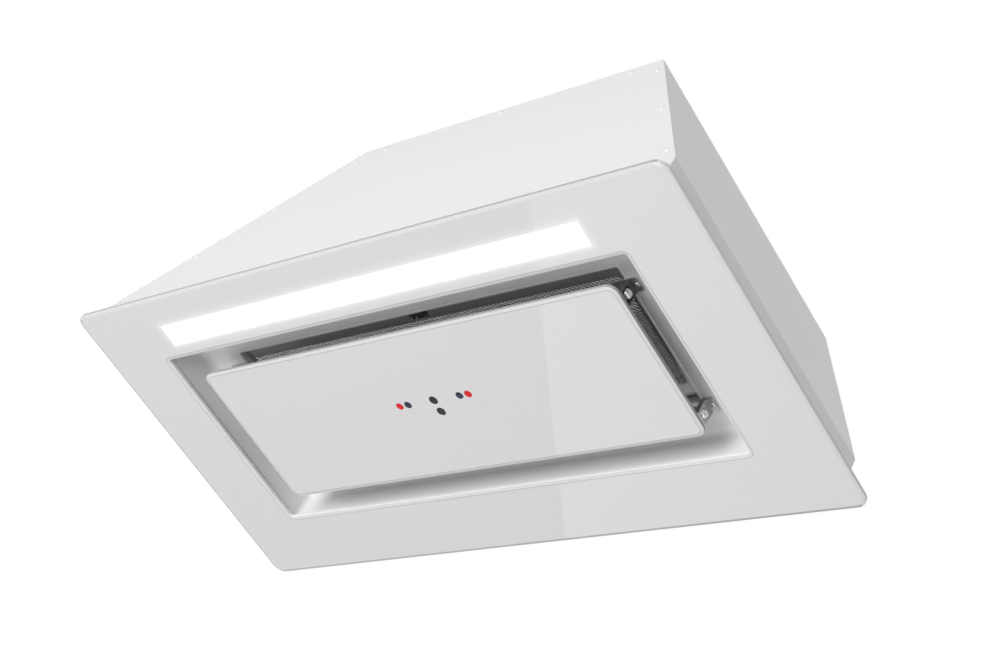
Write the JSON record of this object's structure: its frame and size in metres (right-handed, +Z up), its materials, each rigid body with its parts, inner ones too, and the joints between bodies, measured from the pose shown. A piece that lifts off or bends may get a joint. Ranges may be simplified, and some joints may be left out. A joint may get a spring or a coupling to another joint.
{
  "type": "built-in range hood",
  "caption": "Built-in range hood with a white glass frame, a front light strip, a hinged glass suction panel with a gesture sensor and a steel casing with unequal side slopes.",
  "frame": {"origin": "middle of the lower face of the glass frame", "axes": "+X right along the width, -Y to the front where the light strip is, +Z up to the duct"},
  "size_m": [0.8, 0.4, 0.2615],
  "materials": {
    "white_glass": "gloss",
    "opal": "satin",
    "white_paint": "satin",
    "zinc_sheet": "satin",
    "filter_steel": "brushed",
    "filter_mesh": "satin",
    "bright_steel": "polished",
    "spring_steel": "satin",
    "screw_steel": "satin",
    "rivet_aluminium": "satin",
    "scroll_plastic": "matte",
    "impeller_plastic": "matte",
    "motor_paint": "satin",
    "lamination": "matte",
    "rubber": "matte",
    "collar_plastic": "matte",
    "box_plastic": "matte",
    "dark_plastic": "matte",
    "board_green": "satin",
    "chip_yellow": "gloss",
    "capacitor_shell": "satin",
    "eye_grey": "gloss",
    "indicator_blue": "gloss",
    "indicator_red": "gloss"
  },
  "bodies": {
    "housing": {"glass_frame": "white_glass", "light_diffuser": "opal", "base_frame": "zinc_sheet", "light_channel": "zinc_sheet", "light_board": "box_plastic", "light_chips": "chip_yellow", "recess_ends": "white_paint", "recess_sides": "white_paint", "recess_plate": "white_paint", "filter_frame": "filter_steel", "filter_mesh": "filter_mesh", "latch_springs": "spring_steel", "hinge_sockets": "zinc_sheet", "catch_plates": "zinc_sheet", "front_catches": "dark_plastic", "socket_screws": "screw_steel", "casing_front": "white_paint", "casing_rear": "white_paint", "casing_left": "white_paint", "casing_right": "white_paint", "casing_top": "white_paint", "casing_rivets": "rivet_aluminium", "base_screws": "screw_steel", "scroll_right": "scroll_plastic", "scroll_left": "scroll_plastic", "outlet_gasket": "rubber", "scroll_screws": "screw_steel", "motor_case": "motor_paint", "motor_shield": "motor_paint", "motor_bearings": "bright_steel", "motor_stator": "lamination", "motor_bracket": "zinc_sheet", "motor_grommets": "rubber", "motor_screws": "screw_steel", "outlet_collar": "collar_plastic", "collar_screws": "screw_steel", "flap_pin": "bright_steel", "control_box": "box_plastic", "control_lid": "box_plastic", "control_board": "board_green", "capacitor": "capacitor_shell", "light_driver": "box_plastic", "cable_gland": "dark_plastic", "gland_nut": "dark_plastic"},
    "panel": {"panel_glass": "white_glass", "sensor_eyes": "eye_grey", "blue_indicators": "indicator_blue", "red_indicators": "indicator_red", "sensor_carrier": "dark_plastic", "sensor_board": "board_green", "panel_tray": "zinc_sheet", "pin_brackets": "zinc_sheet", "rear_ball_pins": "bright_steel", "front_ball_pins": "bright_steel"},
    "blower_rotor": {"impeller": "impeller_plastic", "motor_rotor": "lamination", "motor_shaft": "bright_steel"},
    "front_flap": {"front_flap": "collar_plastic"},
    "rear_flap": {"rear_flap": "collar_plastic"},
    "filter_latch": {"filter_latch": "dark_plastic"}
  },
  "joints": [
    {"name": "panel_hinge", "type": "hinge", "parent": "housing", "child": "panel", "pos_m": [0, 0.088, 0.03], "axis": [1, 0, 0], "range_deg": [0, 90]},
    {"name": "impeller_spin", "type": "hinge", "parent": "housing", "child": "blower_rotor", "pos_m": [0.094, -0.06475, 0.1555], "axis": [1, 0, 0], "continuous": true},
    {"name": "front_flap_hinge", "type": "hinge", "parent": "housing", "child": "front_flap", "pos_m": [0.094, -0.01075, 0.2415], "axis": [-1, 0, 0], "range_deg": [0, 75]},
    {"name": "rear_flap_hinge", "type": "hinge", "parent": "housing", "child": "rear_flap", "pos_m": [0.094, -0.01075, 0.2415], "axis": [1, 0, 0], "range_deg": [0, 75]},
    {"name": "latch_slide", "type": "slide", "parent": "housing", "child": "filter_latch", "axis": [0, 1, 0], "range_m": [0, 0.005], "stiffness_N_per_m": 400, "springref_m": -0.002, "deforming": ["latch_springs"]}
  ]
}
